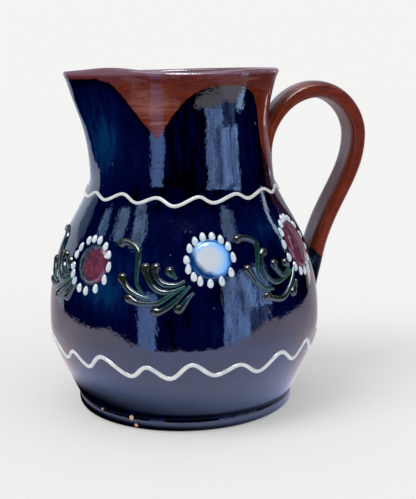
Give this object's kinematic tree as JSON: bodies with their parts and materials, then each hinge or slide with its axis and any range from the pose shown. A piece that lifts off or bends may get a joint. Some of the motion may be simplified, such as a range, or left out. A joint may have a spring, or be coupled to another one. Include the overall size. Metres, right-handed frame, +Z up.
{
  "type": "earthenware jug",
  "caption": "Glazed earthenware milk jug with a pinched spout, a pulled strap handle and slip-trailed wavy lines, flowers and sprigs.",
  "frame": {"origin": "centre of the flat underside", "axes": "+Z up, +X towards the handle, -X towards the spout"},
  "size_m": [0.1889, 0.155, 0.1924],
  "materials": {
    "glazed_earthenware": "glossy transparent glaze over navy and brown slip, with raised cream and green slip trails"
  },
  "bodies": {
    "root": {"jug": "glazed_earthenware"}
  },
  "joints": []
}
